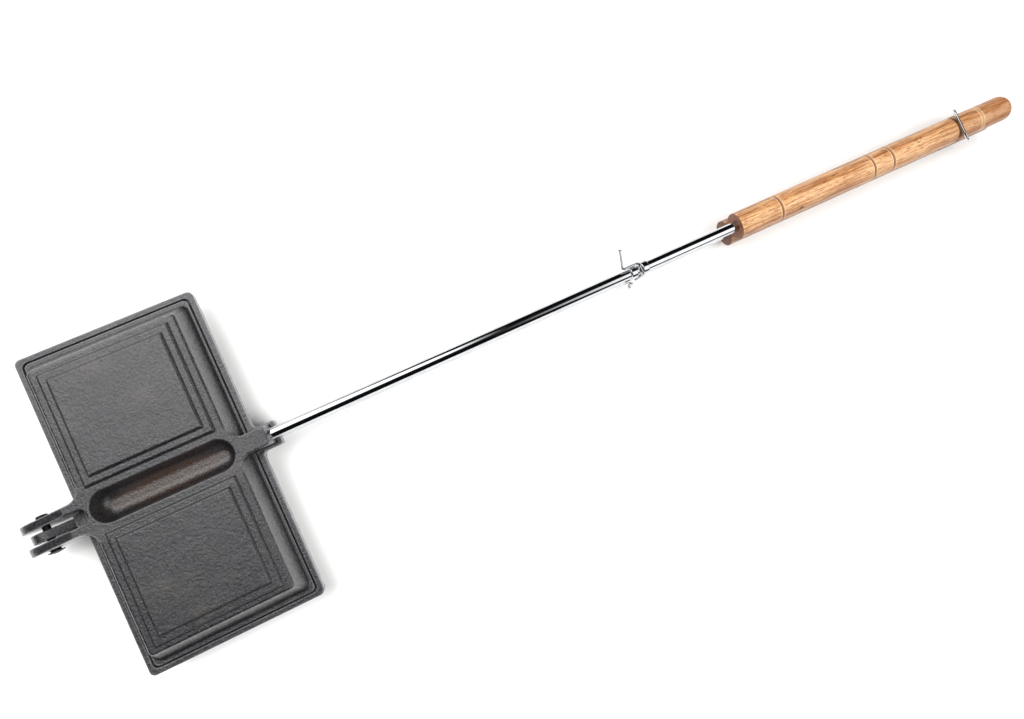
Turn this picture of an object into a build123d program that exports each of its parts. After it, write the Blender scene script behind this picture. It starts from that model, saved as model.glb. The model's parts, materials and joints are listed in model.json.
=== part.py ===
from build123d import *
from math import acos, copysign, degrees, radians, sqrt, tan
import os

# Double pie iron: two hinged cast-iron shells on long take-down rods with turned beech handles.
# Millimetres. +X runs from the hinge to the handle tips, +Y across the head, +Z up.
# The origin is the bottom centre of the closed iron, on the plane it lies on.

os.makedirs("parts", exist_ok=True)

# ---- driving dimensions -------------------------------------------------------------------
# head castings
head_length = 115.2        # across the rim, along the handle
head_width = 216.0         # across the rim, over both pockets
rim_corner = 3.6           # plan radius of the rim corners
rim_thickness = 3.6        # flat rim, below the parting plane of each casting
lip_width = 3.6            # raised lip round the lower casting
lip_height = 3.4           # lip above the parting plane, level with the upper rim's top
wall = 4.0                 # casting wall over the pockets
plateau_depth = 21.0       # parting plane to the flat plateau outside
ledge = 6.4                # rim's edge in to the foot of the sloping sides, along the handle
side_ledge = 7.4           # the same, across it
slope_run = 5.2            # foot of the sloping sides in to the plateau's edge, along the handle
side_slope_run = 6.9       # the same, across it
plateau_corner = 3.0
foot_corner = 4.5
shoulder_radius = 2.0      # rounded top edge of the sloping sides
foot_round = 0.9           # concave foot of the sloping sides
rim_round = 0.5            # outer edges of the rims, and both edges of the lip
step_margin = 4.95         # plateau's edge in to the foot of the lower step, along the handle
side_step_margin = 3.75    # the same, across it
step_height = 2.0          # each of the two steps up to a pocket's raised centre panel
step_strip = 5.1           # foot of the lower step in to the foot of the upper one
step_draft = 35.0          # slope of the step risers, degrees from vertical
step_corner = 0.8          # plan radius of the steps' corners
step_round = 0.4           # edges and feet of the steps
trough_inset = 0.9         # plateau's edge in to the round end of the trough between the panels
trough_shift = 1.0         # trough's middle from the head's centre, toward the handle
trough_width = 20.6
trough_margin = 4.45       # trough's side to the foot of the lower steps
trough_draft = 12.0
trough_depth = 14.0
trough_root = 6.4          # rounding along the trough's bottom
trough_round = 0.8         # edge of the trough's mouth
ridge_land = 10.0          # flat land of the ridge between the pockets, at the parting plane
bread_land = 3.4           # flat seat between a pocket's mouth and the inner side of the lip

# hinge
pin_reach = 22.0           # rim edge to pin axis
pin_diameter = 5.0
pin_head_diameter = 7.0
pin_head_height = 2.7
fork_gap = 9.6             # slot between the two lugs of the upper casting
lug_thickness = 5.3
lug_radius = 12.9
tongue_thickness = 5.8     # single lug of the lower casting
tongue_shift = 0.5         # tongue's middle from the fork's, toward the pin's tail
tongue_radius = 9.6
tongue_root = 4.1          # lip carried out over the tongue's root, inside the fork's slot
tongue_root_depth = 8.6    # lip's top to the underside of that root
fork_root = 11.6           # rim edge back to the bottom of the fork's slot
hinge_flare = 9.0          # plan fillet where the arms leave the plateau
flare_reach = 1.05         # root of a flare beyond its arm on each side, in flare radii
arm_top = 1.0              # rim edge out to where the arm starts to slope down to its lug
lug_round = 0.7            # outer edges of the lugs and the tongue
cap_diameter = 10.0        # push-on cap over the pin's tail
cap_hub_diameter = 6.4
cap_stand_off = 1.2        # lug face to the underside of the cap's brim
cap_edge = 0.5             # thickness of the brim's edge
cap_dome = 1.6             # brim's underside to the top of the dome
cap_grip = 1.9             # length of pin inside the cap

# sockets and rods
socket_width = 12.2        # the two socket blocks
socket_reach = 10.9        # rim edge to the end of the blocks
socket_flare = 9.0
block_corner = 1.2         # upright corners at the end of the blocks
block_round = 0.9          # outer edges of the blocks
block_lean = 1.4           # end face's lean back above the rod
block_slope = 7.0          # height of the part that leans
shelf_width = 16.6         # lower casting's shelf, which runs out between the two rods
shelf_length = 2.9         # shelf beyond the end of the blocks
shelf_flare = 3.0
shelf_corner = 0.9         # upright corners at the end of the shelf
rod_diameter = 7.5
rod_pitch = 19.4           # upper rod axis above lower rod axis
socket_depth = 20.0
rod_length = 351.8         # bare rod, from the upper block to the handle
joint_reach = 271.0        # upper block to the screw joint in the rods
stud_diameter = 5.0
stud_length = 24.0
ferrule_diameter = 9.6
ferrule_length = 5.2
ferrule_round = 0.9
socket_pin_diameter = 3.0
socket_pin_inset = 8.0
rod_chamfer = 0.4
stud_chamfer = 0.6
pin_chamfer = 0.4

# handles
handle_diameter = 19.0
handle_length = 245.2
handle_bore_depth = 190.0
tip_round = 6.2            # rounding of the tip
end_round = 0.8
groove_places = (34.0, 114.8, 132.0)
groove_width = 2.0
groove_depth = 0.6
latch_groove_place = 193.6
latch_groove_width = 4.4
latch_groove_depth = 1.0

# latch bail and rod keeper
bail_wire = 2.2
bail_side_gap = 2.1        # handle's side to the bail's leg
bail_pivot_inset = 22.6    # pivot from the handle's tip
bail_end = 6.0             # length of each inturned end inside the wood
bail_corner = 6.0
bail_end_bend = 3.0
keeper_wire = 1.7
keeper_lead = 0.8          # play of the wire along the rods between the ferrules
keeper_foot = 4.2          # foot's run from the joint along the lower ferrule
keeper_curl = 2.4          # outturned end of the foot
keeper_run = 12.2          # hook's run from the joint along the upper rod
keeper_tail = 13.0         # finger tail beyond the hook
keeper_splay = 3.6         # tail's lean toward the handle
keeper_rise = 1.5          # tail's rise above the hook
keeper_nip = 4.1           # hook's run beside the upper rod's axis
keeper_head_diameter = 3.0 # flat head on the end of the tail
keeper_head_height = 1.2

# clearances
seat_gap = 0.3             # upper casting above the lower one when closed
lip_gap = 0.8              # upper rim inside the lip
arm_gap = 0.45             # upper arms over the lip and in its notch, and lower rod under the shelf
heel_gap = 0.6             # fork's heels past the lower rim as they turn
running = 0.05             # radial, pin in its lugs
press = 0.02               # radial, pieces pressed or screwed together
bore_fit = 0.05            # radial, rod in socket and handle
wire_fit = 0.15            # radial, wire in its hole or round its rod
wire_clear = 0.35          # wire beside a piece that it passes or turns about
snap = 0.05                # how near a vertex, edge or face lies to the place that picks it

# ---- derived places -----------------------------------------------------------------------
foot_length = head_length - 2 * ledge
foot_width = head_width - 2 * side_ledge
plateau_length = foot_length - 2 * slope_run
plateau_width = foot_width - 2 * side_slope_run
step_inner = trough_width / 2 + trough_margin
step_outer = plateau_width / 2 - side_step_margin
panel_length = plateau_length - 2 * (step_margin + step_strip)
panel_width = step_outer - step_inner - 2 * step_strip
panel_pitch = step_outer + step_inner
trough_length = plateau_length - 2 * trough_inset
half_depth = plateau_depth + 2 * step_height
parting_z = half_depth
pin_x = -head_length / 2 - pin_reach
arm_end = -head_length / 2 - arm_top
heel_x = pin_x + sqrt((pin_reach - heel_gap) ** 2 - lug_radius ** 2)
block_end = head_length / 2 + socket_reach
joint_x = block_end + joint_reach
handle_start = block_end + rod_length
handle_tip = handle_start + handle_length
overall_length = handle_tip - pin_x + lug_radius
head_x = lug_radius - pin_x - overall_length / 2      # centre of the head
rod_radius = rod_diameter / 2
upper_axis_z = parting_z + rod_pitch / 2
lower_axis_z = parting_z - rod_pitch / 2

upper_base = Plane(origin=(head_x, 0, parting_z), x_dir=(1, 0, 0), z_dir=(0, 0, 1))
lower_base = Plane(origin=(head_x, 0, parting_z), x_dir=(1, 0, 0), z_dir=(0, 0, -1))


def side_plane(base):
    """Plane through the head's centre line, with x along the handle and y away from the parting plane."""
    return Plane(origin=base.origin, x_dir=(1, 0, 0), z_dir=-base.y_dir)


def across_plane(x, z):
    """Plane across the iron at x from the head's centre, facing the handle."""
    return Plane(origin=(head_x + x, 0, z), x_dir=(0, 1, 0), z_dir=(1, 0, 0))


def off_base(shape, base):
    """How far the centre of an edge or face lies from a casting's parting plane."""
    return (shape.center() - base.origin).dot(base.z_dir)


def out_from_head(shape):
    """How far the centre of an edge or face lies from the head's centre, along the handle."""
    return abs(shape.center().X - head_x)


# ---- castings -----------------------------------------------------------------------------
def arm_plan(reach_from, reach_to, width, edge, flare, corner=0):
    """Plan of an arm that leaves the straight edge at x = edge with a concave flare on each side."""
    side = 1 if reach_to > edge else -1
    inner = edge - side * flare
    with BuildSketch() as plan:
        with Locations(((reach_from + reach_to) / 2, 0)):
            Rectangle(abs(reach_to - reach_from), width)
        with Locations(((inner + edge) / 2, 0)):
            Rectangle(flare, width + 2 * flare_reach * flare)
        roots = plan.vertices().filter_by(lambda v: abs(v.X - edge) < snap and abs(v.Y) < width / 2 + snap)
        fillet(roots, radius=flare)
        if corner:
            ends = plan.vertices().filter_by(lambda v: abs(v.X - reach_to) < snap)
            fillet(ends, radius=corner)
    return plan.sketch


def shell_outside(base, rim_length, rim_width, bottom, corner):
    """Rim, sloping sides, plateau and stepped panels of one casting, still solid."""
    with BuildPart() as outside:
        with BuildSketch(base.offset(bottom)):
            RectangleRounded(rim_length, rim_width, corner)
        extrude(amount=rim_thickness - bottom)
        rim_face = outside.faces().sort_by(lambda f: off_base(f, base))[-1]
        fillet(rim_face.edges(), radius=rim_round)
        with BuildSketch(base.offset(rim_thickness)):
            RectangleRounded(foot_length, foot_width, foot_corner)
        with BuildSketch(base.offset(plateau_depth)):
            RectangleRounded(plateau_length, plateau_width, plateau_corner)
        loft(ruled=True)
        shoulder = outside.faces().sort_by(lambda f: off_base(f, base))[-1]
        fillet(shoulder.edges(), radius=shoulder_radius)
        foot = outside.edges().filter_by(
            lambda e: abs(off_base(e, base) - rim_thickness) < snap
            and out_from_head(e) < foot_length / 2 + snap
            and abs(e.center().Y) < foot_width / 2 + snap)
        fillet(foot, radius=foot_round)
        for level, border in enumerate((step_strip, 0)):
            for side in (-1, 1):
                for rise, inset in ((0, 0), (step_height, step_height * tan(radians(step_draft)))):
                    grow = 2 * (border - inset)
                    with BuildSketch(base.offset(plateau_depth + level * step_height + rise)):
                        with Locations((0, side * panel_pitch / 2)):
                            RectangleRounded(panel_length + grow, panel_width + grow, step_corner)
                loft(ruled=True)
        for level in range(3):
            edges = outside.edges().filter_by(
                lambda e: abs(off_base(e, base) - plateau_depth - level * step_height) < snap
                and out_from_head(e) < panel_length / 2 + step_strip + snap
                and abs(e.center().Y) < (panel_pitch + panel_width) / 2 + step_strip + snap)
            fillet(edges, radius=step_round)
    return outside.part


def pockets(base, bottom):
    """The two bread pockets and the trough between them, as solids to cut away."""
    mouth_length = head_length - 2 * (lip_width + lip_gap + bread_land)
    mouth_width = head_width - 2 * (lip_width + lip_gap + bread_land)
    floor_length = plateau_length - 2 * wall
    floor_outer = plateau_width / 2 - wall
    floor_inner = trough_width / 2 + wall
    floor_depth = plateau_depth - wall
    mouth_inner = ridge_land / 2
    with BuildPart() as cavity:
        for side in (-1, 1):
            with BuildSketch(base.offset(bottom)):
                with Locations((0, side * (mouth_width / 2 + mouth_inner) / 2)):
                    RectangleRounded(mouth_length, mouth_width / 2 - mouth_inner, foot_corner)
            with BuildSketch(base.offset(floor_depth)):
                with Locations((0, side * (floor_outer + floor_inner) / 2)):
                    RectangleRounded(floor_length, floor_outer - floor_inner, foot_corner)
            loft(ruled=True)
        with BuildSketch(base.offset(floor_depth)):
            with GridLocations(0, panel_pitch, 1, 2):
                Rectangle(panel_length + 2 * step_strip - wall, panel_width + 2 * step_strip - wall)
        extrude(amount=step_height, taper=step_draft)
        with BuildSketch(base.offset(floor_depth + step_height)):
            with GridLocations(0, panel_pitch, 1, 2):
                Rectangle(panel_length - wall, panel_width - wall)
        extrude(amount=step_height, taper=step_draft)
    return cavity.part


def trough(base):
    """Round-ended trough between the panels, as a solid to cut away."""
    with BuildPart() as channel:
        with BuildSketch(base.offset(plateau_depth)):
            with Locations((trough_shift, 0)):
                SlotOverall(trough_length, trough_width)
        extrude(amount=-trough_depth, taper=trough_draft)
        bottom = channel.faces().sort_by(lambda f: off_base(f, base))[0]
        fillet(bottom.edges(), radius=trough_root)
    return channel.part


def trough_mouth(casting, base):
    """Edges where the trough opens in the plateau."""
    return casting.edges().filter_by(
        lambda e: abs(off_base(e, base) - plateau_depth) < snap
        and out_from_head(e) < trough_shift + trough_length / 2 + snap
        and abs(e.center().Y) < trough_width / 2 + snap)


def socket_block(base, width, reach, corner, bottom):
    """Block at the handle side that takes the rod, flush with the plateau."""
    with BuildPart() as block:
        with BuildSketch(base.offset(bottom)):
            root = plateau_length / 2
            add(arm_plan(root - socket_flare, reach, width, root, socket_flare, corner))
        extrude(amount=plateau_depth - bottom)
        with BuildSketch(side_plane(base)):
            with BuildLine():
                Polyline(
                    (reach, plateau_depth - block_slope),
                    (reach, plateau_depth),
                    (reach - block_lean, plateau_depth),
                    close=True,
                )
            make_face()
        extrude(amount=width, both=True, mode=Mode.SUBTRACT)
        top = block.faces().sort_by(lambda f: off_base(f, base))[-1]
        fillet(top.edges().filter_by(lambda e: out_from_head(e) > root + snap), radius=block_round)
    return block.part


def touch_point(x, y, radius, turn):
    """Point where a line from (x, y) touches the circle of the given radius about the pin."""
    centre = Vector(pin_x, 0)
    reach = Vector(x, y) - centre
    return centre + reach.normalized().rotate(Axis.Z, turn * degrees(acos(radius / reach.length))) * radius


def hinge_arm(base, width, radius, under):
    """Arm from the plateau out to a round lug about the pin; under is its outline on the parting side."""
    root = -plateau_length / 2 + hinge_flare
    with BuildPart() as arm:
        with BuildSketch(side_plane(base)):
            with Locations((pin_x, 0)):
                Circle(radius)
            with BuildLine():
                Polyline(
                    touch_point(arm_end, plateau_depth, radius, 1),
                    (arm_end, plateau_depth),
                    (root, plateau_depth),
                    (root, under[0][1]),
                    *under,
                    close=True,
                )
            make_face()
        extrude(amount=width / 2 + flare_reach * hinge_flare, both=True)
        with BuildSketch(base.offset(-2 * lug_radius)):
            add(arm_plan(root, pin_x - 2 * radius, width, -plateau_length / 2, hinge_flare))
        extrude(amount=2 * lug_radius + plateau_depth, mode=Mode.INTERSECT)
        lug_edges = arm.edges().filter_by(
            lambda e: out_from_head(e) > -arm_end - snap and abs(abs(e.center().Y) - width / 2) < snap)
        fillet(lug_edges, radius=lug_round)
    return arm.part


# upper casting: nests inside the lip, carries the fork and the upper rod
upper_rim_length = head_length - 2 * (lip_width + lip_gap)
upper_rim_width = head_width - 2 * (lip_width + lip_gap)
fork_width = fork_gap + 2 * lug_thickness
slot_end = -head_length / 2 + fork_root - fork_gap / 2
fork_under = ((arm_end, lip_height + arm_gap), (arm_end, 0), (heel_x, -lug_radius), (pin_x, -lug_radius))
with BuildPart() as upper_fork:
    add(hinge_arm(upper_base, fork_width, lug_radius, fork_under))
    with BuildSketch(upper_base.offset(-2 * lug_radius)):
        with Locations(((slot_end + pin_x - 2 * lug_radius) / 2, 0)):
            Rectangle(slot_end - pin_x + 2 * lug_radius, fork_gap)
        with Locations((slot_end, 0)):
            Circle(fork_gap / 2)
    extrude(amount=2 * lug_radius + 2 * plateau_depth, mode=Mode.SUBTRACT)

with BuildPart() as upper_half:
    add(shell_outside(upper_base, upper_rim_length, upper_rim_width, seat_gap, rim_corner))
    add(socket_block(upper_base, socket_width, block_end, block_corner, seat_gap))
    add(upper_fork.part)
    add(trough(upper_base), mode=Mode.SUBTRACT)
    fillet(trough_mouth(upper_half, upper_base), radius=trough_round)
    add(pockets(upper_base, seat_gap), mode=Mode.SUBTRACT)
    with BuildSketch(across_plane(block_end, upper_axis_z)):
        Circle(rod_radius + bore_fit)
    extrude(amount=-socket_depth, mode=Mode.SUBTRACT)
    with Locations(Plane(origin=(head_x + block_end - socket_pin_inset, 0, upper_axis_z), z_dir=(0, 1, 0))):
        Hole(socket_pin_diameter / 2 + press)
    with Locations(Plane(origin=(head_x + pin_x, 0, parting_z), z_dir=(0, 1, 0))):
        Hole(pin_diameter / 2 + running)
upper_half.part.label = "upper_half"

# lower casting: lip all round, shelf between the rods, single tongue at the hinge
shelf_thickness = lip_height + rod_pitch / 2 - rod_radius - arm_gap
tongue_under = ((arm_end, 0), touch_point(arm_end, 0, tongue_radius, -1))
shelf_end = block_end + shelf_length
lip_length = head_length - 2 * lip_width
notch_start = lip_length / 2 - arm_gap
notch_end = block_end + arm_gap
lip_span = head_width - 2 * lip_width
with BuildPart() as lower_half:
    add(shell_outside(lower_base, head_length, head_width, 0, rim_corner))
    with BuildSketch(upper_base):
        RectangleRounded(head_length, head_width, rim_corner)
        RectangleRounded(lip_length, lip_span, rim_corner, mode=Mode.SUBTRACT)
    extrude(amount=lip_height)
    lip_face = lower_half.faces().sort_by(Axis.Z)[-1]
    fillet(lip_face.edges(), radius=rim_round)
    add(socket_block(lower_base, socket_width, block_end, block_corner, 0))
    with BuildSketch(upper_base.offset(lip_height)):
        add(arm_plan(lip_length / 2, shelf_end, shelf_width, head_length / 2, shelf_flare, shelf_corner))
    extrude(amount=-shelf_thickness)
    add(hinge_arm(lower_base, tongue_thickness, tongue_radius, tongue_under).moved(Pos(Y=-tongue_shift)))
    with BuildSketch(upper_base.offset(lip_height)):
        with Locations((-(lip_length + head_length) / 4 - tongue_root / 2, 0)):
            Rectangle((head_length - lip_length) / 2 + tongue_root, fork_gap - 2 * arm_gap)
    extrude(amount=-tongue_root_depth)
    add(trough(lower_base), mode=Mode.SUBTRACT)
    fillet(trough_mouth(lower_half, lower_base), radius=trough_round)
    add(pockets(lower_base, 0), mode=Mode.SUBTRACT)
    with BuildSketch(upper_base):
        with Locations(((notch_start + notch_end) / 2, 0)):
            Rectangle(notch_end - notch_start, socket_width + 2 * arm_gap)
    extrude(amount=2 * lip_height, mode=Mode.SUBTRACT)
    with BuildSketch(across_plane(block_end, lower_axis_z)):
        Circle(rod_radius + bore_fit)
    extrude(amount=-socket_depth, mode=Mode.SUBTRACT)
    with Locations(Plane(origin=(head_x + block_end - socket_pin_inset, 0, lower_axis_z), z_dir=(0, 1, 0))):
        Hole(socket_pin_diameter / 2 + press)
    with Locations(Plane(origin=(head_x + pin_x, 0, parting_z), z_dir=(0, 1, 0))):
        Hole(pin_diameter / 2 + running)
lower_half.part.label = "lower_half"

# ---- hinge pin and the cap pushed on its tail ----------------------------------------------
pin_axis = Axis((head_x + pin_x, 0, parting_z), (0, 1, 0))
pin_plane = Plane(origin=pin_axis.position)
lug_face = fork_width / 2 + press
with BuildPart() as hinge_pin:
    with BuildSketch(pin_plane):
        with BuildLine():
            Polyline(
                (0, -lug_face - cap_grip),
                (pin_diameter / 2 - pin_chamfer, -lug_face - cap_grip),
                (pin_diameter / 2, -lug_face - cap_grip + pin_chamfer),
                (pin_diameter / 2, lug_face),
                (pin_head_diameter / 2, lug_face),
                (pin_head_diameter / 2, lug_face + pin_head_height),
                (0, lug_face + pin_head_height),
                close=True,
            )
        make_face()
    revolve(axis=pin_axis)
    fillet(hinge_pin.edges().filter_by(GeomType.CIRCLE).sort_by(Axis.Y)[-1], radius=pin_head_height / 3)
hinge_pin.part.label = "hinge_pin"

brim = -lug_face - cap_stand_off
with BuildPart() as hinge_cap:
    with BuildSketch(pin_plane):
        with BuildLine():
            Polyline(
                (0, brim - cap_dome),
                (0, -lug_face - cap_grip - press),
                (pin_diameter / 2 + press, -lug_face - cap_grip - press),
                (pin_diameter / 2 + press, -lug_face),
                (cap_hub_diameter / 2, -lug_face),
                (cap_hub_diameter / 2, brim),
                (cap_diameter / 2, brim),
                (cap_diameter / 2, brim - cap_edge),
            )
            TangentArc((0, brim - cap_dome), (cap_diameter / 2, brim - cap_edge), tangent=(1, 0))
        make_face()
    revolve(axis=pin_axis)
hinge_cap.part.label = "hinge_cap"


# ---- rods, screw joints, ferrules and socket pins -----------------------------------------
def rod(label, axis_z, far_end, pin_hole):
    """Length of plain rod from the screw joint to far_end, tapped at the joint."""
    with BuildPart() as bar:
        with BuildSketch(across_plane(joint_x, axis_z)):
            Circle(rod_radius)
        extrude(amount=far_end - joint_x)
        chamfer(bar.edges().filter_by(GeomType.CIRCLE), length=rod_chamfer)
        with BuildSketch(across_plane(joint_x, axis_z)):
            Circle(stud_diameter / 2 + press)
        extrude(amount=copysign(stud_length / 2 + press, far_end - joint_x), mode=Mode.SUBTRACT)
        if pin_hole:
            with Locations(Plane(origin=(head_x + socket_pin_x, 0, axis_z), z_dir=(0, 1, 0))):
                Hole(socket_pin_diameter / 2 + press)
    bar.part.label = label
    return bar.part


def ferrule(label, axis_z, start):
    """Rounded ring pressed on a rod beside its screw joint."""
    with BuildPart() as ring:
        with BuildSketch(across_plane(start, axis_z)):
            Circle(ferrule_diameter / 2)
        extrude(amount=ferrule_length)
        fillet(ring.edges().filter_by(GeomType.CIRCLE), radius=ferrule_round)
        with BuildSketch(across_plane(start, axis_z)):
            Circle(rod_radius + press)
        extrude(amount=ferrule_length, mode=Mode.SUBTRACT)
    ring.part.label = label
    return ring.part


def joint_stud(label, axis_z):
    """Double-ended stud that screws the two lengths of a rod together."""
    with BuildPart() as stud:
        with BuildSketch(across_plane(joint_x, axis_z)):
            Circle(stud_diameter / 2)
        extrude(amount=stud_length / 2, both=True)
        chamfer(stud.edges().filter_by(GeomType.CIRCLE).group_by(Axis.X)[0], length=stud_chamfer)
        chamfer(stud.edges().filter_by(GeomType.CIRCLE).group_by(Axis.X)[-1], length=stud_chamfer)
    stud.part.label = label
    return stud.part


def socket_pin(label, axis_z):
    """Plain pin across a socket block that holds the rod in it."""
    with BuildPart() as pin:
        with BuildSketch(Plane(origin=(head_x + socket_pin_x, -socket_width / 2, axis_z), z_dir=(0, 1, 0))):
            Circle(socket_pin_diameter / 2)
        extrude(amount=socket_width)
        chamfer(pin.edges().filter_by(GeomType.CIRCLE), length=pin_chamfer)
    pin.part.label = label
    return pin.part


# ---- handles ------------------------------------------------------------------------------
def cut_groove(place, width, depth):
    """Take a round-bottomed groove of the given width and depth out of a handle's half profile."""
    radius = (width ** 2 / 4 + depth ** 2) / (2 * depth)
    with Locations((place, handle_diameter / 2 + radius - depth)):
        Circle(radius, mode=Mode.SUBTRACT)


def handle(label, axis_z, bail_hole):
    """Turned handle with a domed tip, bored for the rod."""
    start = (head_x + handle_start, 0, axis_z)
    with BuildPart() as grip:
        with BuildSketch(Plane(origin=start, x_dir=(1, 0, 0), z_dir=(0, -1, 0))) as profile:
            with Locations((handle_length / 2, handle_diameter / 4)):
                Rectangle(handle_length, handle_diameter / 2)
            outer_corners = profile.vertices().group_by(Axis.Y)[-1].sort_by(Axis.X)
            fillet(outer_corners[-1], radius=tip_round)
            fillet(outer_corners[0], radius=end_round)
            for place in groove_places:
                cut_groove(place, groove_width, groove_depth)
            cut_groove(latch_groove_place, latch_groove_width, latch_groove_depth)
        revolve(axis=Axis(start, (1, 0, 0)))
        with BuildSketch(across_plane(handle_start, axis_z)):
            Circle(rod_radius + bore_fit)
        extrude(amount=handle_bore_depth, mode=Mode.SUBTRACT)
        if bail_hole:
            with BuildSketch(Plane(origin=(head_x + bail_x, 0, axis_z), z_dir=(0, 1, 0))):
                Circle(bail_wire / 2 + wire_fit)
            extrude(amount=handle_diameter, both=True, mode=Mode.SUBTRACT)
    grip.part.label = label
    return grip.part


socket_pin_x = block_end - socket_pin_inset
rod_foot = block_end - socket_depth + bore_fit
rod_tail = handle_start + handle_bore_depth - bore_fit
ferrule_gap = keeper_wire + 2 * (wire_clear + keeper_lead)
latch_x = handle_start + latch_groove_place
bail_x = handle_tip - bail_pivot_inset

pieces = []
for side, axis_z in (("lower", lower_axis_z), ("upper", upper_axis_z)):
    pieces += [
        rod(f"{side}_front_rod", axis_z, rod_foot, pin_hole=True),
        rod(f"{side}_rear_rod", axis_z, rod_tail, pin_hole=False),
        joint_stud(f"{side}_stud", axis_z),
        ferrule(f"{side}_front_ferrule", axis_z, joint_x - ferrule_gap / 2 - ferrule_length),
        ferrule(f"{side}_rear_ferrule", axis_z, joint_x + ferrule_gap / 2),
        socket_pin(f"{side}_socket_pin", axis_z),
        handle(f"{side}_handle", axis_z, bail_hole=side == "lower"),
    ]

# ---- latch bail: pivots in the lower handle, its crossbar rests in the upper handle's groove -
crossbar_z = upper_axis_z + handle_diameter / 2 - latch_groove_depth + seat_gap + bail_wire / 2
bail_rise = Vector(latch_x - bail_x, 0, crossbar_z - lower_axis_z)
bail_plane = Plane(
    origin=(head_x + bail_x, 0, lower_axis_z),
    x_dir=(0, 1, 0),
    z_dir=Vector(0, 1, 0).cross(bail_rise),
)
bail_leg = handle_diameter / 2 + bail_side_gap + bail_wire / 2
bail_tip = handle_diameter / 2 - bail_end
with BuildPart() as latch_bail:
    with BuildLine(bail_plane) as bail_path:
        FilletPolyline(
            (-bail_tip, 0),
            (-bail_leg, 0),
            (-bail_leg, bail_rise.length),
            (bail_leg, bail_rise.length),
            (bail_leg, 0),
            (bail_tip, 0),
            radius=(bail_end_bend, bail_corner, bail_corner, bail_end_bend),
        )
    with BuildSketch(Plane(origin=bail_path.line @ 0, z_dir=bail_path.line % 0)):
        Circle(bail_wire / 2)
    sweep()
latch_bail.part.label = "latch_bail"

# ---- rod keeper: a wire turned about the lower rod's joint and hooked over the upper one ----
keeper_side = rod_radius + wire_clear + keeper_wire / 2
foot_side = ferrule_diameter / 2 + wire_clear + keeper_wire / 2
hook_height = rod_pitch + rod_radius + wire_clear + keeper_wire / 2
turn_bend = 0.85 * keeper_side
step_bend = 0.65 * keeper_side
foot_bend = 0.8 * keeper_wire
hook_bend = 1.4 * keeper_wire
tail_bend = 0.8 * keeper_wire
keeper_bends = (*2 * [foot_bend], step_bend, *2 * [turn_bend], step_bend, *2 * [hook_bend], tail_bend)
with BuildPart() as rod_keeper:
    with BuildLine(Plane(origin=(head_x + joint_x, 0, lower_axis_z))) as keeper_path:
        FilletPolyline(
            (-keeper_foot, -foot_side - keeper_curl, 0),
            (-keeper_foot, -foot_side, 0),
            (-keeper_lead, -foot_side, 0),
            (-keeper_lead, -keeper_side, -keeper_side),
            (-keeper_lead / 2, keeper_side, -keeper_side),
            (0, keeper_side, keeper_side),
            (keeper_lead / 2, -keeper_side, keeper_side),
            (keeper_lead, -keeper_side, hook_height),
            (keeper_lead, keeper_nip, hook_height),
            (-keeper_run, keeper_nip, hook_height),
            (keeper_splay - keeper_run, keeper_nip + keeper_tail, hook_height + keeper_rise),
            radius=keeper_bends,
        )
    with BuildSketch(Plane(origin=keeper_path.line @ 0, z_dir=keeper_path.line % 0)):
        Circle(keeper_wire / 2)
    sweep()
    with Locations(Plane(origin=keeper_path.line @ 1, z_dir=keeper_path.line % 1)):
        head = Cylinder(keeper_head_diameter / 2, keeper_head_height)
    fillet(head.edges().filter_by(GeomType.CIRCLE), radius=keeper_head_height / 3)
rod_keeper.part.label = "rod_keeper"

# ---- write every piece --------------------------------------------------------------------
pieces += [built.part for built in (lower_half, upper_half, hinge_pin, hinge_cap, latch_bail, rod_keeper)]
for piece in pieces:
    export_step(piece, f"parts/{piece.label}.step")
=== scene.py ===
"""Finishes, floor, light and camera of the double pie iron, in metres, in its CAD model's frame."""
import json
import math

import bpy
from mathutils import Euler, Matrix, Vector


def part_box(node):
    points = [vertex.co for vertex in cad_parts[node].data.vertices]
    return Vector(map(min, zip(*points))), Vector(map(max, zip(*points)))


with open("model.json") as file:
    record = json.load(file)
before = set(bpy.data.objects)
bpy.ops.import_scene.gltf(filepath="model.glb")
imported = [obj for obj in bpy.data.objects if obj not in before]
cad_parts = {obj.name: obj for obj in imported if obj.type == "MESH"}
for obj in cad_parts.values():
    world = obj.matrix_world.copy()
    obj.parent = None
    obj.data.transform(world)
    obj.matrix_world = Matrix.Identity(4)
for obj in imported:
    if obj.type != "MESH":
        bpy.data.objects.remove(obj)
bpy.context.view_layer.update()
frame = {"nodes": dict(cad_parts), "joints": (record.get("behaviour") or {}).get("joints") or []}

bl_info = {
    "name": "Double pie iron",
    "version": (1, 0, 0),
    "blender": (4, 5, 0),
    "location": "View3D > Sidebar > Pie iron",
    "description": "Finishes a cast-iron double pie iron with chromed rods and beech handles",
    "category": "Object",
}

MM = 0.001
FRAME_WIDTH = 1024                 # pixels, the width that the focal length is given for

# places on the iron, from the frame
handle_low, handle_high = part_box("upper_handle")
hinge = next(j for j in frame["joints"] if j["name"] == "head_hinge")
keeper = next(j for j in frame["joints"] if j["name"] == "keeper_swing")
HINGE_TO_HEAD = 79.6 * MM          # hinge pin to the middle of the head
head_x = hinge["pos_m"][0] + HINGE_TO_HEAD
upper_axis_z = (handle_low.z + handle_high.z) / 2
lower_axis_z = keeper["pos_m"][2]

# turned details of the handles, from the end at the rod
GROOVES = (34.0 * MM, 114.8 * MM, 132.0 * MM)
LATCH_GROOVE = 193.6 * MM
SCRIBED = 214.5 * MM               # faint turned line near the tip
KNOT = (49.5 * MM, -7.6 * MM, 5.7 * MM)    # upper handle, from the middle of its end at the rod

# a Mix node of colours: its inputs and output share their names with those of its other kinds
FIRST, SECOND = 6, 7
OF_COLOURS = {"out": 2, "data_type": "RGBA"}
SMOOTHLY = {"interpolation_type": "SMOOTHSTEP"}

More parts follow.
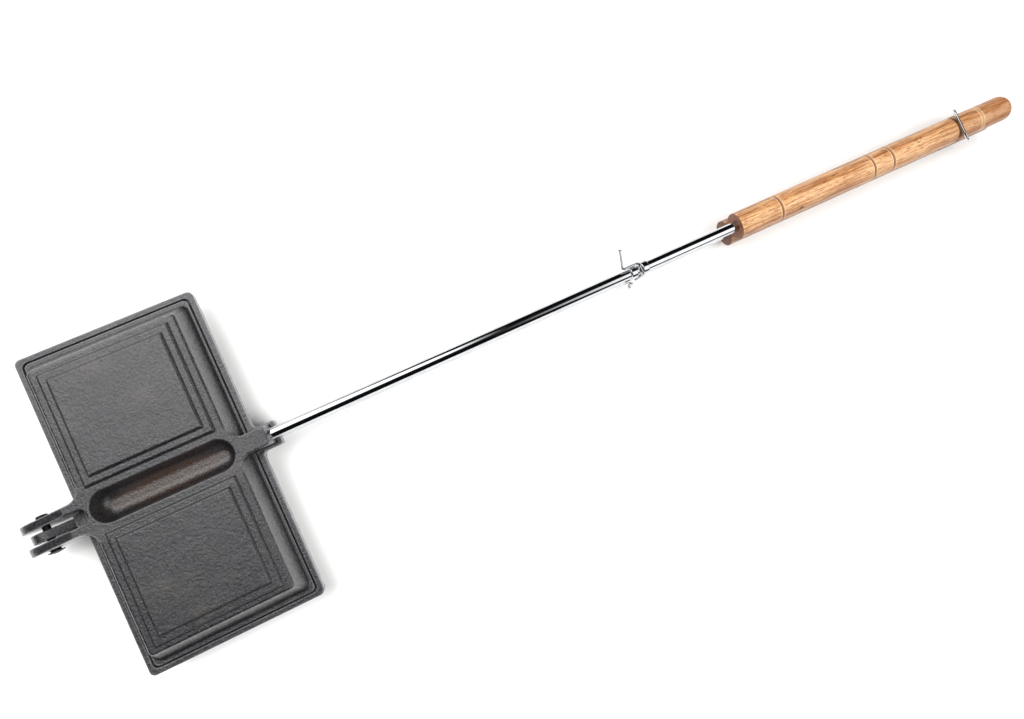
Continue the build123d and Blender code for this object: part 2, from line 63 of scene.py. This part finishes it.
# The room, by direction: its x, from -1 beyond the head to 1 beyond the handles, and its turn about
# the rods in degrees, 0 toward +Y and 90 overhead.  A softbox has a far and a near edge, each a line
# through two (x, turn) points, and fades over blur degrees to both sides of them.  Each of its ends
# is a pair of x, unlit and fully lit.
STUDIO_DARK = 0.006                # the unlit room that the chrome shows as black
HEAD_SOFTBOX = {
    "far": ((-0.13, 15), (0.10, 50)), "near": ((-1, 88), (1, 88)), "blur": 8,
    "ends": ((0.17, 0.04), (-0.64, -0.38))}
TOP_SOFTBOX = {
    "far": ((-1, 92), (1, 92)), "near": ((0.22, 121), (0.40, 154)), "blur": 9,
    "ends": ((0.13, 0.44), (0.92, 0.66))}

# the set, in metres from the middle of the closed iron
FLOOR_SIZE = 12.0
BACKDROP_RADIUS = 5.5
FILL_SIZE = 0.6
HEAD_FILL = {"place": (-0.52, 0.26, 1.2), "aim": (-0.30, 0.0, 0.0)}
HANDLE_FILL = {"place": (0.34, -0.34, 1.2), "aim": (0.20, 0.0, 0.0)}
SENSOR_WIDTH = 36.0                # millimetres, of a full-frame camera


def linear(hex_colour):
    """sRGB hex colour as linear RGBA."""
    value = hex_colour.lstrip("#")
    channels = [int(value[i:i + 2], 16) / 255 for i in (0, 2, 4)]
    return [c / 12.92 if c <= 0.04045 else ((c + 0.055) / 1.055) ** 2.4 for c in channels] + [1.0]


def new_material(name):
    """Empty node material; returns the material, its tree and its shader."""
    material = bpy.data.materials.new(name)
    material.use_nodes = True
    return material, material.node_tree, material.node_tree.nodes["Principled BSDF"]


def node(tree, kind, inputs=(), stops=(), out=0, **settings):
    """Add a node with its settings and return one of its outputs.

    An input is a value, a hex colour or another node's output, by name or in order.  Stops fill a
    colour ramp.
    """
    made = tree.nodes.new("ShaderNode" + kind)
    for name, value in settings.items():
        setattr(made, name, value)
    for place, value in inputs.items() if isinstance(inputs, dict) else enumerate(inputs):
        if isinstance(value, bpy.types.NodeSocket):
            tree.links.new(value, made.inputs[place])
        else:
            made.inputs[place].default_value = linear(value) if isinstance(value, str) else value
    for _ in stops[2:]:
        made.color_ramp.elements.new(1.0)
    for element, (position, colour) in zip(made.color_ramp.elements if stops else (), stops):
        element.position = position
        element.color = linear(colour)
    return made.outputs[out]


def dress(material, *node_names):
    """Give CAD nodes their finished material."""
    for name in node_names:
        mesh = frame["nodes"][name].data
        mesh.materials.clear()
        mesh.materials.append(material)


# ---- settings -----------------------------------------------------------------------------
class CastingSettings(bpy.types.PropertyGroup):
    """Seasoned sand-cast iron of the two shells."""
    iron: bpy.props.StringProperty(
        name="Iron", description="Colour of the seasoned iron", default="#17171A")
    oil: bpy.props.StringProperty(
        name="Oil", description="Colour of the oil baked into hollows", default="#3A2A20")
    # the Worn colour is that of the painted highlight on the convex edges
    edge_highlight: bpy.props.StringProperty(
        name="Worn", description="Colour of edges that are handled", default="#86868C")
    grain: bpy.props.FloatProperty(
        name="Sand grain", description="Width of the lumps that the moulding sand leaves",
        default=1.15 * MM, unit="LENGTH")
    skin_depth: bpy.props.FloatProperty(
        name="Skin depth", description="Depth of those lumps", default=0.28 * MM, unit="LENGTH")


class MetalSettings(bpy.types.PropertyGroup):
    """Plated and dark metal parts."""
    chrome: bpy.props.StringProperty(
        name="Chrome", description="Colour of the chrome plate", default="#CFD0D2")
    steel: bpy.props.StringProperty(
        name="Steel", description="Colour of the oiled steel", default="#2E2D2E")
    turned: bpy.props.StringProperty(
        name="Turned steel", description="Colour of the bare studs", default="#9A9A9C")


class WoodSettings(bpy.types.PropertyGroup):
    """Turned and oiled beech of the handles."""
    light: bpy.props.StringProperty(
        name="Light wood", description="Lightest beech", default="#DCB286")
    middle: bpy.props.StringProperty(
        name="Wood", description="Usual colour of the beech", default="#C08A5A")
    dark: bpy.props.StringProperty(
        name="Dark wood", description="Darkest streaks of the beech", default="#8C5834")
    # the Burnt colour is that of the painted shade and the bail's painted shadow in the latch groove
    latch_groove_shade: bpy.props.StringProperty(
        name="Burnt", description="Scorched latch groove", default="#38230F")
    fleck: bpy.props.FloatProperty(
        name="Ray flecks", description="Length of the beech's ray flecks",
        default=4.5 * MM, unit="LENGTH")


class StageSettings(bpy.types.PropertyGroup):
    """Floor, light and camera."""
    focal_px: bpy.props.FloatProperty(
        name="Focal length", description="Focal length in pixels of the frame", default=702.7)
    camera_place: bpy.props.FloatVectorProperty(
        name="Camera", description="Camera from the head's centre on the resting plane",
        default=(0.15723, -0.03267, 0.50623), subtype="TRANSLATION", unit="LENGTH")
    camera_turn: bpy.props.FloatVectorProperty(
        name="Turn", description="Camera's rotation",
        default=(math.radians(5.05), math.radians(-7.49), math.radians(-24.90)), subtype="EULER")
    floor: bpy.props.StringProperty(
        name="Floor", description="Colour of the paper floor", default="#F8F8F7")
    backdrop: bpy.props.StringProperty(
        name="Backdrop", description="Colour of the backdrop", default="#EDEDEC")
    head_light: bpy.props.FloatProperty(
        name="Head light", description="Strength of the softbox beyond the head", default=2.7)
    top_light: bpy.props.FloatProperty(
        name="Top light", description="Strength of the softbox above the handles", default=2.0)
    fill_watts: bpy.props.FloatProperty(
        name="Fill", description="Power of each overhead fill lamp in watts", default=10.5)


# ---- finishes -----------------------------------------------------------------------------
def sand_cast_iron(name):
    """Seasoned cast iron from a green-sand mould.

    The sand leaves fine lumps all over, baked oil makes the skin dark and faintly glossy and bakes
    brown in the trough, the creases get painted shade and the convex edges a painted highlight.
    """
    settings = bpy.context.scene.iron_casting
    material, tree, shader = new_material(name)
    sooty, bright_sand, dark_sand, crease_shade = "#2B2724", "#505056", "#0C0C0D", "#0E0D0C"
    where = node(tree, "TexCoord", out="Object")
    # the finest sand is under a pixel wide, so the grain is drawn about twice as coarse as it is
    grain = node(tree, "TexNoise", {
        "Vector": where, "Scale": 1 / settings.grain, "Detail": 3.0, "Roughness": 0.7})
    pits = node(tree, "TexVoronoi", {"Vector": where, "Scale": 1 / (1.9 * MM)}, feature="SMOOTH_F1")
    wash = node(tree, "TexNoise", {
        "Vector": where, "Scale": 1 / (24 * MM), "Detail": 2.0, "Roughness": 0.5})
    tone = node(tree, "ValToRGB", {"Fac": wash}, (
        (0.3, settings.iron), (0.52, settings.iron), (0.7, sooty)))
    bright_grain = node(tree, "MapRange", {
        "Value": grain, "From Min": 0.5, "From Max": 0.72, "To Max": 0.6}, **SMOOTHLY)
    tone = node(tree, "Mix", {
        "Factor": bright_grain, FIRST: tone, SECOND: bright_sand}, **OF_COLOURS)
    dark_grain = node(tree, "MapRange", {
        "Value": grain, "From Min": 0.46, "From Max": 0.3, "To Max": 0.8}, **SMOOTHLY)
    tone = node(tree, "Mix", {"Factor": dark_grain, FIRST: tone, SECOND: dark_sand}, **OF_COLOURS)
    # painted shade: the creases are darkened almost to black where ambient occlusion finds them
    # closed in
    open_sky = node(tree, "AmbientOcclusion", {"Distance": 4 * MM}, out="AO", samples=8)
    crease_shade_share = node(tree, "MapRange", {
        "Value": open_sky, "From Min": 0.9, "From Max": 0.6, "To Max": 0.95}, **SMOOTHLY)
    tone = node(tree, "Mix", {"Factor": crease_shade_share, FIRST: tone, SECOND: crease_shade}, **OF_COLOURS)
    # fat runs along the trough and bakes there to a brown skin, as far as an ellipsoid reaches
    middle, reach = (head_x, 0, 30 * MM), (50 * MM, 11 * MM, 9 * MM)
    trough = node(tree, "Mapping", {
        "Vector": where, "Location": middle, "Scale": reach}, vector_type="TEXTURE")
    away = node(tree, "VectorMath", [trough], out="Value", operation="LENGTH")
    baked = node(tree, "MapRange", {
        "Value": away, "From Min": 1.0, "From Max": 0.6, "To Max": 0.8}, **SMOOTHLY)
    tone = node(tree, "Mix", {"Factor": baked, FIRST: tone, SECOND: settings.oil}, **OF_COLOURS)
    # painted highlight: convex edges, where little metal lies under the skin, are lightened
    rounded = node(tree, "Bevel", {"Radius": 0.7 * MM}, samples=6)
    backed = node(tree, "AmbientOcclusion", {"Distance": 1.8 * MM},
                  out="AO", samples=8, inside=True, only_local=True)
    edge_highlight = node(tree, "MapRange", {
        "Value": backed, "From Min": 0.86, "From Max": 0.55, "To Max": 0.5}, **SMOOTHLY)
    tone = node(tree, "Mix", {"Factor": edge_highlight, FIRST: tone, SECOND: settings.edge_highlight}, **OF_COLOURS)
    tree.links.new(tone, shader.inputs["Base Color"])
    lumps = node(tree, "Math", [pits, 0.45, grain], operation="MULTIPLY_ADD")
    rolling = node(tree, "Bump", {"Height": wash, "Distance": 0.35 * MM, "Normal": rounded})
    skin = node(tree, "Bump", {"Height": lumps, "Distance": settings.skin_depth, "Normal": rolling})
    tree.links.new(skin, shader.inputs["Normal"])
    gloss = node(tree, "Math", [grain, 0.26, 0.16], operation="MULTIPLY_ADD")
    tree.links.new(gloss, shader.inputs["Roughness"])
    shader.inputs["Specular IOR Level"].default_value = 1.0
    shader.inputs["Coat Weight"].default_value = 0.8
    shader.inputs["Coat Roughness"].default_value = 0.24
    tree.links.new(skin, shader.inputs["Coat Normal"])
    return material


def chrome_plate(name, dulling):
    """Bright chrome plate over drawn steel: a mirror with faint lengthwise polishing marks.

    Dulling is the most that the haze of handling adds to its roughness.
    """
    settings = bpy.context.scene.iron_metal
    hazed = "#BEC0C4"
    material, tree, shader = new_material(name)
    where = node(tree, "TexCoord", out="Object")
    drawn = node(tree, "Mapping", {"Vector": where, "Scale": (0.04, 1, 1)})
    marks = node(tree, "TexNoise", {"Vector": drawn, "Scale": 1 / (0.5 * MM), "Detail": 3.0})
    haze = node(tree, "TexNoise", {"Vector": where, "Scale": 1 / (9 * MM), "Detail": 3.0})
    tone = node(tree, "ValToRGB", {"Fac": haze}, ((0.35, settings.chrome), (0.7, hazed)))
    tree.links.new(tone, shader.inputs["Base Color"])
    gloss = node(tree, "Math", [haze, dulling, dulling / 2], operation="MULTIPLY_ADD")
    tree.links.new(gloss, shader.inputs["Roughness"])
    rounded = node(tree, "Bevel", {"Radius": 0.25 * MM}, samples=4)
    polish = node(tree, "Bump", {"Height": marks, "Distance": 0.003 * MM, "Normal": rounded})
    tree.links.new(polish, shader.inputs["Normal"])
    shader.inputs["Metallic"].default_value = 1.0
    return material


def oiled_steel(name):
    """Blackened oiled steel of the hinge pin, its cap and the socket pins.

    The oil gives the black skin a greasy sheen and paler smears, and the edges are rubbed bare.
    """
    settings = bpy.context.scene.iron_metal
    smeared, rubbed_bare = "#4B4745", "#8A8784"
    material, tree, shader = new_material(name)
    smear = node(tree, "TexNoise", {
        "Vector": node(tree, "TexCoord", out="Object"), "Scale": 1 / (2.2 * MM), "Detail": 4.0})
    tone = node(tree, "ValToRGB", {"Fac": smear}, ((0.3, settings.steel), (0.75, smeared)))
    rounded = node(tree, "Bevel", {"Radius": 0.3 * MM}, samples=4)
    flat = node(tree, "NewGeometry", out="Normal")
    turn = node(tree, "VectorMath", [rounded, flat], out="Value", operation="DOT_PRODUCT")
    rubbed = node(tree, "MapRange", {
        "Value": turn, "From Min": 0.98, "From Max": 0.8, "To Max": 0.6})
    tone = node(tree, "Mix", {"Factor": rubbed, FIRST: tone, SECOND: rubbed_bare}, **OF_COLOURS)
    tree.links.new(tone, shader.inputs["Base Color"])
    gloss = node(tree, "Math", [smear, 0.3, 0.25], operation="MULTIPLY_ADD")
    tree.links.new(gloss, shader.inputs["Roughness"])
    dents = node(tree, "Bump", {"Height": smear, "Distance": 0.05 * MM, "Normal": rounded})
    tree.links.new(dents, shader.inputs["Normal"])
    shader.inputs["Metallic"].default_value = 1.0
    return material


def turned_steel(name):
    """Bare turned steel of the joint studs: rings from the tool, 1 mm apart, round a grey bar."""
    settings = bpy.context.scene.iron_metal
    ring_shade = "#7E7E80"
    material, tree, shader = new_material(name)
    where = node(tree, "TexCoord", out="Object")
    rings = node(tree, "TexWave", {
        "Vector": where, "Scale": 0.32 / MM, "Distortion": 0.4, "Detail": 2.0},
        out="Fac", bands_direction="X")
    tone = node(tree, "ValToRGB", {"Fac": rings}, ((0.2, ring_shade), (0.8, settings.turned)))
    tree.links.new(tone, shader.inputs["Base Color"])
    gloss = node(tree, "Math", [rings, 0.12, 0.26], operation="MULTIPLY_ADD")
    tree.links.new(gloss, shader.inputs["Roughness"])
    ridged = node(tree, "Bump", {"Height": rings, "Distance": 0.08 * MM})
    tree.links.new(ridged, shader.inputs["Normal"])
    shader.inputs["Metallic"].default_value = 1.0
    return material


def oiled_beech(name, axis_z, painted_shade, knot=None):
    """Oiled beech, turned along the grain.

    Tan wood with straight streaks, short dark ray flecks and dark end grain.  Painted shade darkens
    the grooves' bottoms, the latch groove under the bail and the tip; the groove lips have a painted
    highlight.
    """
    settings = bpy.context.scene.iron_wood
    fleck_brown, knot_brown, lip_highlight, groove_shade = "#623A22", "#4E2C16", "#EBC79B", "#5A3118"
    end_dark, end_light = "#4A2411", "#8A4A26"
    start = Vector((handle_low.x, 0, axis_z))
    from_pith = (0, -6 * MM, 21 * MM)  # the handle's axis, from the middle of the tree
    material, tree, shader = new_material(name)
    whole = node(tree, "TexCoord", out="Object")
    where = node(tree, "Mapping", {"Vector": whole, "Location": start}, vector_type="TEXTURE")
    place = node(tree, "SeparateXYZ", [where], out="X")
    # growth rings cut lengthwise: bands 4.2 mm apart that wander along the handle
    board = node(tree, "Mapping", {"Vector": where, "Location": from_pith, "Scale": (0.05, 1, 1)})
    rings = node(tree, "TexWave", {
        "Vector": board, "Scale": 0.075 / MM, "Distortion": 3.2, "Detail": 3.0,
        "Detail Scale": 1.4}, out="Fac", wave_type="RINGS", rings_direction="X")
    fibre = node(tree, "Mapping", {"Vector": where, "Scale": (0.045, 1, 1)})
    streak = node(tree, "TexNoise", {
        "Vector": fibre, "Scale": 1 / (1.1 * MM), "Detail": 5.0, "Roughness": 0.65})
    weighed = node(tree, "Math", [streak, 1.25, -0.19], operation="MULTIPLY_ADD")
    grain = node(tree, "Math", [rings, 0.14, weighed], operation="MULTIPLY_ADD")
    tone = node(tree, "ValToRGB", {"Fac": grain}, (
        (0.34, settings.dark), (0.5, settings.middle), (0.66, settings.light)))
    # ray flecks are short dashes along the grain, drawn wider than the real 0.2 mm, to show
    dashed = node(tree, "Mapping", {"Vector": where, "Scale": (0.5 * MM / settings.fleck, 1, 1)})
    dashes = node(tree, "TexNoise", {"Vector": dashed, "Scale": 1 / (0.55 * MM), "Detail": 1.0})
    fleck = node(tree, "MapRange", {
        "Value": dashes, "From Min": 0.59, "From Max": 0.68, "To Max": 0.85}, **SMOOTHLY)
    tone = node(tree, "Mix", {"Factor": fleck, FIRST: tone, SECOND: fleck_brown}, **OF_COLOURS)
    cloudy = node(tree, "Mapping", {"Vector": where, "Scale": (0.4, 1, 1)})
    cloud = node(tree, "TexNoise", {"Vector": cloudy, "Scale": 1 / (12 * MM), "Detail": 3.0})
    shadowed = node(tree, "MapRange", {
        "Value": cloud, "From Min": 0.45, "From Max": 0.72, "To Max": 0.45}, **SMOOTHLY)
    tone = node(tree, "Mix", {"Factor": shadowed, FIRST: tone, SECOND: settings.dark}, **OF_COLOURS)
    # painted shade: the wood darkens towards the tip, where the light falls off
    tip_shade = node(tree, "MapRange", {
        "Value": place, "From Min": 150 * MM, "From Max": 235 * MM, "To Max": 0.5}, **SMOOTHLY)
    tone = node(tree, "Mix", {"Factor": tip_shade, FIRST: tone, SECOND: settings.dark}, **OF_COLOURS)
    if knot:
        spot = node(tree, "Mapping", {
            "Vector": where, "Location": knot, "Scale": (1.6, 1, 1)}, vector_type="TEXTURE")
        away = node(tree, "VectorMath", [spot], out="Value", operation="LENGTH")
        core = node(tree, "MapRange", {
            "Value": away, "From Min": 1.6 * MM, "From Max": 0.6 * MM}, **SMOOTHLY)
        tone = node(tree, "Mix", {"Factor": core, FIRST: tone, SECOND: knot_brown}, **OF_COLOURS)
    # painted highlight on each groove's lips and painted shade at its bottom, less of it at the
    # scribed line
    for groove, groove_shade_share in (*((g, 0.85) for g in GROOVES), (SCRIBED, 0.45)):
        near = node(tree, "Math", [node(tree, "Math", [place, groove], operation="SUBTRACT")],
                    operation="ABSOLUTE")
        for width, share, colour in ((2.6 * MM, 0.5, lip_highlight), (1.0 * MM, groove_shade_share, groove_shade)):
            band = node(tree, "MapRange", {
                "Value": near, "From Min": width, "From Max": width / 3, "To Max": share},
                **SMOOTHLY)
            tone = node(tree, "Mix", {"Factor": band, FIRST: tone, SECOND: colour}, **OF_COLOURS)
    # painted shade and the bail's painted shadow in the latch groove, with a ragged edge
    near = node(tree, "Math", [node(tree, "Math", [place, LATCH_GROOVE], operation="SUBTRACT")],
                operation="ABSOLUTE")
    ragged = node(tree, "Math", [streak, -1.6 * MM, near], operation="MULTIPLY_ADD")
    latch_groove_shade = node(tree, "MapRange", {
        "Value": ragged, "From Min": 0.9 * MM, "From Max": 0.1 * MM, "To Max": 0.8}, **SMOOTHLY)
    tone = node(tree, "Mix", {"Factor": latch_groove_shade, FIRST: tone, SECOND: settings.latch_groove_shade}, **OF_COLOURS)
    # open end grain drinks the oil
    facing = node(tree, "SeparateXYZ", [node(tree, "NewGeometry", out="Normal")], out="X")
    facing = node(tree, "Math", [facing], operation="ABSOLUTE")
    end_grain = node(tree, "MapRange", {
        "Value": facing, "From Min": 0.55, "From Max": 0.98, "To Max": 0.85}, **SMOOTHLY)
    pores = node(tree, "TexNoise", {"Vector": where, "Scale": 1 / (0.5 * MM), "Detail": 3.0})
    drunk = node(tree, "ValToRGB", {"Fac": pores}, ((0.35, end_dark), (0.65, end_light)))
    tone = node(tree, "Mix", {"Factor": end_grain, FIRST: tone, SECOND: drunk}, **OF_COLOURS)
    # painted shade: the lower handle's copy of the wood is darkened as a whole
    tone = node(tree, "HueSaturation", {"Color": tone, "Value": painted_shade})
    tree.links.new(tone, shader.inputs["Base Color"])
    gloss = node(tree, "Math", [streak, 0.25, 0.28], operation="MULTIPLY_ADD")
    tree.links.new(gloss, shader.inputs["Roughness"])
    rounded = node(tree, "Bevel", {"Radius": 0.5 * MM}, samples=4)
    relief = node(tree, "Math", [fleck, -0.5, streak], operation="MULTIPLY_ADD")
    raised = node(tree, "Bump", {"Height": relief, "Distance": 0.12 * MM, "Normal": rounded})
    tree.links.new(raised, shader.inputs["Normal"])
    return material


def paper_floor(name, colour):
    """Matt white paper sweep: a faint tooth, and slight clouds about 170 mm wide."""
    clouded = "#F4F4F3"
    material, tree, shader = new_material(name)
    where = node(tree, "TexCoord", out="Object")
    cloud = node(tree, "TexNoise", {"Vector": where, "Scale": 6.0, "Detail": 3.0})
    tone = node(tree, "ValToRGB", {"Fac": cloud}, ((0.3, colour), (0.8, clouded)))
    tree.links.new(tone, shader.inputs["Base Color"])
    tooth = node(tree, "TexNoise", {"Vector": where, "Scale": 1 / (0.6 * MM), "Detail": 2.0})
    raised = node(tree, "Bump", {"Height": tooth, "Distance": 0.02 * MM})
    tree.links.new(raised, shader.inputs["Normal"])
    shader.inputs["Roughness"].default_value = 0.9
    return material


def paper_backdrop(name, colour):
    """Evenly lit pale paper round the set, a touch darker towards the top."""
    top_shade, shaded_from = "#D8D8D7", 5.0    # metres up, where it is darkest
    material, tree, shader = new_material(name)
    height = node(tree, "SeparateXYZ", [node(tree, "TexCoord", out="Object")], out="Z")
    share = node(tree, "MapRange", {"Value": height, "From Max": shaded_from})
    tone = node(tree, "ValToRGB", {"Fac": share}, ((0.0, colour), (1.0, top_shade)))
    tree.links.new(tone, shader.inputs["Emission Color"])
    shader.inputs["Base Color"].default_value = linear("#000000")
    shader.inputs["Emission Strength"].default_value = 1.0
    shader.inputs["Specular IOR Level"].default_value = 0.0
    return material


def studio_light(settings):
    """Two soft lights in a dark room, by direction.

    One large softbox stands on the far side, beyond the head, and reaches overhead.  The other
    hangs over the handles, on the near side.
    """
    world = bpy.data.worlds.new("studio")
    bpy.context.scene.world = world
    world.use_nodes = True
    tree = world.node_tree
    toward = node(tree, "TexCoord", out="Generated")
    along = node(tree, "SeparateXYZ", [toward], out="X")
    axes = along.node.outputs
    angle = node(tree, "Math", [axes["Z"], axes["Y"]], operation="ARCTAN2")
    light = STUDIO_DARK
    lit_by = (HEAD_SOFTBOX, settings.head_light), (TOP_SOFTBOX, settings.top_light)
    for softbox, strength in lit_by:
        glow = strength
        for unlit, fully_lit in softbox["ends"]:
            lit = node(tree, "MapRange", {
                "Value": along, "From Min": unlit, "From Max": fully_lit}, **SMOOTHLY)
            glow = node(tree, "Math", [lit, glow], operation="MULTIPLY")
        for edge, side in ((softbox["far"], 1), (softbox["near"], -1)):
            (x0, angle0), (x1, angle1) = edge
            bound = node(tree, "MapRange", {
                "Value": along, "From Min": x0, "From Max": x1,
                "To Min": math.radians(angle0), "To Max": math.radians(angle1)})
            past = node(tree, "Math", [angle, bound], operation="SUBTRACT")
            blur = math.radians(side * softbox["blur"])
            lit = node(tree, "MapRange", {
                "Value": past, "From Min": -blur, "From Max": blur}, **SMOOTHLY)
            glow = node(tree, "Math", [glow, lit], operation="MULTIPLY")
        light = node(tree, "Math", [glow, light], operation="ADD")
    tree.links.new(light, tree.nodes["Background"].inputs["Strength"])
    tree.nodes["Background"].inputs["Color"].default_value = linear("#FFFFFF")


def fill_lamp(name, place, aim, watts):
    """Square soft lamp overhead that lifts the matt surfaces; glossy ones don't show it."""
    bpy.ops.object.light_add(type="AREA", location=place)
    made = bpy.context.object
    made.name = name
    made.data.shape = "SQUARE"
    made.data.size = FILL_SIZE
    made.data.energy = watts
    made.rotation_euler = (Vector(aim) - made.location).to_track_quat("-Z", "Y").to_euler()
    made.visible_camera = False
    made.visible_glossy = False


# ---- operators ----------------------------------------------------------------------------
class IRON_OT_castings(bpy.types.Operator):
    """Season the two cast shells"""
    bl_idname = "iron.castings"
    bl_label = "Castings"

    def execute(self, context):
        dress(sand_cast_iron("seasoned_sand_cast_iron"), "lower_half", "upper_half")
        return {"FINISHED"}


class IRON_OT_rods(bpy.types.Operator):
    """Plate the rods, ferrules, bail and keeper"""
    bl_idname = "iron.rods"
    bl_label = "Rods"

    def execute(self, context):
        nodes = frame["nodes"]
        rods = [n for n in nodes if n.endswith("_rod")]
        ferrules = [n for n in nodes if n.endswith("_ferrule")]
        dress(chrome_plate("chrome_plated_drawn_rod", 0.04), *rods)
        dress(chrome_plate("chrome_plated_fittings", 0.07), "latch_bail", "rod_keeper", *ferrules)
        return {"FINISHED"}


class IRON_OT_pins(bpy.types.Operator):
    """Blacken the hinge pin, its cap and the socket pins, and leave the joint studs bare"""
    bl_idname = "iron.pins"
    bl_label = "Pins and studs"

    def execute(self, context):
        dress(oiled_steel("blackened_oiled_steel"),
              "hinge_pin", "hinge_cap", "lower_socket_pin", "upper_socket_pin")
        dress(turned_steel("bare_turned_steel"), "lower_stud", "upper_stud")
        return {"FINISHED"}


class IRON_OT_handles(bpy.types.Operator):
    """Oil the two handles"""
    bl_idname = "iron.handles"
    bl_label = "Handles"

    def execute(self, context):
        dress(oiled_beech("oiled_turned_beech", upper_axis_z, 1.0, KNOT), "upper_handle")
        # the lower handle's darker copy of the wood is painted shade
        dress(oiled_beech("oiled_turned_beech_painted_shade", lower_axis_z, 0.72), "lower_handle")
        return {"FINISHED"}


class IRON_OT_stage(bpy.types.Operator):
    """Set the floor, the light and the camera"""
    bl_idname = "iron.stage"
    bl_label = "Stage"

    def execute(self, context):
        scene = context.scene
        settings = scene.iron_stage
        scene.view_settings.view_transform = "Standard"
        bpy.ops.object.select_all(action="DESELECT")
        bpy.ops.mesh.primitive_plane_add(size=FLOOR_SIZE, location=(0, 0, 0))
        floor = context.object
        floor.name = "floor"
        floor.data.materials.append(paper_floor("white_paper_sweep", settings.floor))
        bpy.ops.mesh.primitive_uv_sphere_add(
            segments=48, ring_count=24, radius=BACKDROP_RADIUS, location=(0, 0, 0))
        backdrop = context.object
        backdrop.name = "backdrop"
        bpy.ops.object.shade_smooth()
        backdrop.data.materials.append(paper_backdrop("pale_paper_backdrop", settings.backdrop))
        # only the camera sees it, so it closes the view and the softboxes light through it
        for ray in ("diffuse", "glossy", "transmission", "volume_scatter", "shadow"):
            setattr(backdrop, "visible_" + ray, False)
        studio_light(settings)
        fill_lamp("head_fill", watts=settings.fill_watts, **HEAD_FILL)
        fill_lamp("handle_fill", watts=settings.fill_watts, **HANDLE_FILL)
        bpy.ops.object.camera_add(location=Vector(settings.camera_place) + Vector((head_x, 0, 0)))
        camera = context.object
        camera.rotation_euler = Euler(settings.camera_turn, "XYZ")
        camera.data.sensor_width = SENSOR_WIDTH
        camera.data.lens = settings.focal_px / FRAME_WIDTH * SENSOR_WIDTH
        camera.data.clip_start = 0.01
        camera.data.clip_end = 30
        scene.camera = camera
        return {"FINISHED"}


class IRON_PT_panel(bpy.types.Panel):
    """Steps that finish the iron, in order"""
    bl_label = "Pie iron"
    bl_idname = "IRON_PT_panel"
    bl_space_type = "VIEW_3D"
    bl_region_type = "UI"
    bl_category = "Pie iron"

    def draw(self, context):
        for step in STEPS:
            self.layout.operator(step.bl_idname)


STEPS = (IRON_OT_castings, IRON_OT_rods, IRON_OT_pins, IRON_OT_handles, IRON_OT_stage)
SETTINGS = {
    "iron_casting": CastingSettings,
    "iron_metal": MetalSettings,
    "iron_wood": WoodSettings,
    "iron_stage": StageSettings,
}


def register():
    for cls in (*SETTINGS.values(), *STEPS, IRON_PT_panel):
        bpy.utils.register_class(cls)
    for name, cls in SETTINGS.items():
        setattr(bpy.types.Scene, name, bpy.props.PointerProperty(type=cls))


def unregister():
    for name in SETTINGS:
        delattr(bpy.types.Scene, name)
    for cls in (IRON_PT_panel, *reversed(STEPS), *SETTINGS.values()):
        bpy.utils.unregister_class(cls)


def main():
    register()
    bpy.ops.iron.castings()
    bpy.ops.iron.rods()
    bpy.ops.iron.pins()
    bpy.ops.iron.handles()
    bpy.ops.iron.stage()


if __name__ == "__main__":
    main()
